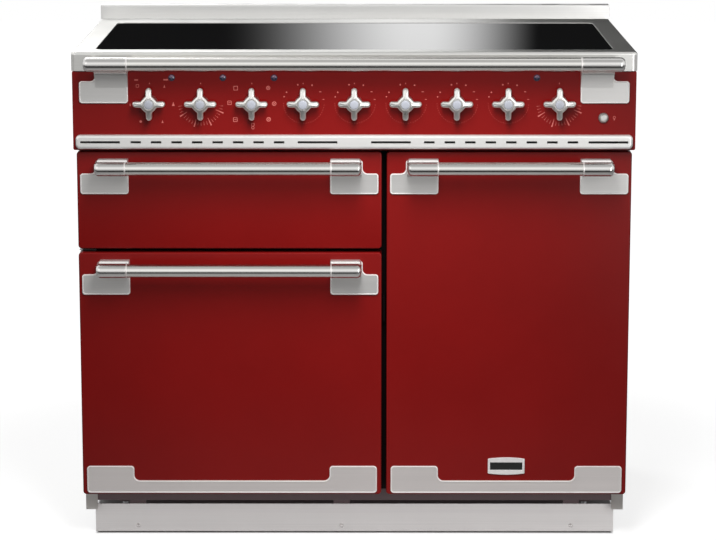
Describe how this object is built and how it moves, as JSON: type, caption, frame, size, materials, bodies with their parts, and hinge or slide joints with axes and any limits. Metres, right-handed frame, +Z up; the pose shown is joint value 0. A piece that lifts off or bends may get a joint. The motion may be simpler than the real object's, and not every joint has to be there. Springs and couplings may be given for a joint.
{
  "type": "induction range cooker",
  "caption": "Wide freestanding induction range cooker with hinged oven doors, a drop-down grill door, cross knobs, a hob rail and a steel plinth.",
  "frame": {"origin": "on the floor under the middle of the bounding box: half the width and half the depth with the hob rail", "axes": "+X to the right as seen from the front, +Y to the back, +Z up"},
  "size_m": [1, 0.648, 0.933],
  "materials": {
    "red_enamel": "high gloss vitreous enamel",
    "brushed_steel": "fine horizontal brushing",
    "satin_bar_steel": "satin, turned",
    "knob_metal": "satin chrome",
    "black_glass": "polished black glass ceramic",
    "lens": "tinted clear lens",
    "side_paint": "light grey satin paint",
    "frame_paint": "black enamel",
    "cavity_enamel": "speckled dark enamel",
    "zinc_steel": "bare zinc-coated sheet",
    "seal_rubber": "soft woven silicone",
    "rack_chrome": "bright chromed wire",
    "element_steel": "heat-tinted steel sheath",
    "coil_copper": "lacquered copper winding",
    "module_plastic": "moulded black plastic",
    "fan_steel": "plain sheet steel",
    "roller_rubber": "hard rubber",
    "badge_metal": "polished rim with a black field"
  },
  "bodies": {
    "root": {"hob_surround": "brushed_steel", "ceramic_glass": "black_glass", "rear_upstand": "brushed_steel", "induction_coils": "coil_copper", "hob_tray": "zinc_steel", "hob_generators": "module_plastic", "hob_rail": "satin_bar_steel", "hob_rail_brackets": "brushed_steel", "fascia_panel": "red_enamel", "vent_trim": "brushed_steel", "control_switches": "module_plastic", "neon_lenses": "lens", "button_bezel": "knob_metal", "side_panels": "side_paint", "front_frame": "frame_paint", "back_panel": "zinc_steel", "terminal_cover": "module_plastic", "base_frame": "zinc_steel", "plinth": "brushed_steel", "plinth_screws": "zinc_steel", "left_oven_cavity": "cavity_enamel", "right_oven_cavity": "cavity_enamel", "grill_cavity": "cavity_enamel", "oven_gaskets": "seal_rubber", "wire_racks": "rack_chrome", "grill_pan": "cavity_enamel", "fan_covers": "cavity_enamel", "fan_motors": "fan_steel", "heating_elements": "element_steel", "door_hinges": "zinc_steel"},
    "grill_door": {"grill_door_panel": "red_enamel", "grill_door_liner": "cavity_enamel", "grill_door_handle": "satin_bar_steel", "grill_door_brackets": "brushed_steel"},
    "left_door": {"left_door_panel": "red_enamel", "left_door_liner": "cavity_enamel", "left_door_handle": "satin_bar_steel", "left_door_brackets": "brushed_steel", "left_door_trim": "brushed_steel"},
    "right_door": {"right_door_panel": "red_enamel", "right_door_liner": "cavity_enamel", "right_door_handle": "satin_bar_steel", "right_door_brackets": "brushed_steel", "right_door_trim": "brushed_steel", "badge_plate": "badge_metal"},
    "light_button": {"light_button": "knob_metal"},
    "left_fan": {"left_oven_fan": "fan_steel"},
    "right_fan": {"right_oven_fan": "fan_steel"},
    "left_foot": {"left_front_foot": "zinc_steel"},
    "right_foot": {"right_front_foot": "zinc_steel"},
    "rollers": {"rear_rollers": "roller_rubber"},
    "knob_1": {"knob_1": "knob_metal"},
    "knob_2": {"knob_2": "knob_metal"},
    "knob_3": {"knob_3": "knob_metal"},
    "knob_4": {"knob_4": "knob_metal"},
    "knob_5": {"knob_5": "knob_metal"},
    "knob_6": {"knob_6": "knob_metal"},
    "knob_7": {"knob_7": "knob_metal"},
    "knob_8": {"knob_8": "knob_metal"},
    "knob_9": {"knob_9": "knob_metal"}
  },
  "joints": [
    {"name": "grill_door_hinge", "type": "hinge", "parent": "root", "child": "grill_door", "pos_m": [-0.22275, -0.247, 0.5575], "axis": [1, 0, 0], "range_deg": [0, 90]},
    {"name": "left_door_hinge", "type": "hinge", "parent": "root", "child": "left_door", "pos_m": [-0.4855, -0.226, 0.318], "axis": [0, 0, -1], "range_deg": [0, 105]},
    {"name": "right_door_hinge", "type": "hinge", "parent": "root", "child": "right_door", "pos_m": [0.4855, -0.226, 0.41], "axis": [0, 0, 1], "range_deg": [0, 105]},
    {"name": "light_button_press", "type": "slide", "parent": "root", "child": "light_button", "axis": [0, 1, 0], "range_m": [0, 0.003], "stiffness_N_per_m": 250, "springref_m": -0.001},
    {"name": "left_fan_spin", "type": "hinge", "parent": "root", "child": "left_fan", "pos_m": [-0.22275, 0.19, 0.3179], "axis": [0, 1, 0], "continuous": true},
    {"name": "right_fan_spin", "type": "hinge", "parent": "root", "child": "right_fan", "pos_m": [0.27625, 0.19, 0.40945], "axis": [0, 1, 0], "continuous": true},
    {"name": "left_foot_screw", "type": "slide", "parent": "root", "child": "left_foot", "axis": [0, 0, 1], "range_m": [-0.025, 0]},
    {"name": "right_foot_screw", "type": "slide", "parent": "root", "child": "right_foot", "axis": [0, 0, 1], "range_m": [-0.025, 0]},
    {"name": "roller_spin", "type": "hinge", "parent": "root", "child": "rollers", "pos_m": [0, 0.248, 0.022], "axis": [1, 0, 0], "continuous": true},
    {"name": "knob_1_turn", "type": "hinge", "parent": "root", "child": "knob_1", "pos_m": [-0.362, -0.27, 0.814], "axis": [0, 1, 0], "range_deg": [-150, 150]},
    {"name": "knob_2_turn", "type": "hinge", "parent": "root", "child": "knob_2", "pos_m": [-0.2715, -0.27, 0.814], "axis": [0, 1, 0], "range_deg": [0, 270]},
    {"name": "knob_3_turn", "type": "hinge", "parent": "root", "child": "knob_3", "pos_m": [-0.181, -0.27, 0.814], "axis": [0, 1, 0], "range_deg": [0, 315]},
    {"name": "knob_4_turn", "type": "hinge", "parent": "root", "child": "knob_4", "pos_m": [-0.0905, -0.27, 0.814], "axis": [0, 1, 0], "range_deg": [0, 300]},
    {"name": "knob_5_turn", "type": "hinge", "parent": "root", "child": "knob_5", "pos_m": [0, -0.27, 0.814], "axis": [0, 1, 0], "range_deg": [0, 300]},
    {"name": "knob_6_turn", "type": "hinge", "parent": "root", "child": "knob_6", "pos_m": [0.0905, -0.27, 0.814], "axis": [0, 1, 0], "range_deg": [0, 300]},
    {"name": "knob_7_turn", "type": "hinge", "parent": "root", "child": "knob_7", "pos_m": [0.181, -0.27, 0.814], "axis": [0, 1, 0], "range_deg": [0, 300]},
    {"name": "knob_8_turn", "type": "hinge", "parent": "root", "child": "knob_8", "pos_m": [0.2715, -0.27, 0.814], "axis": [0, 1, 0], "range_deg": [0, 300]},
    {"name": "knob_9_turn", "type": "hinge", "parent": "root", "child": "knob_9", "pos_m": [0.362, -0.27, 0.814], "axis": [0, 1, 0], "range_deg": [0, 270]}
  ]
}
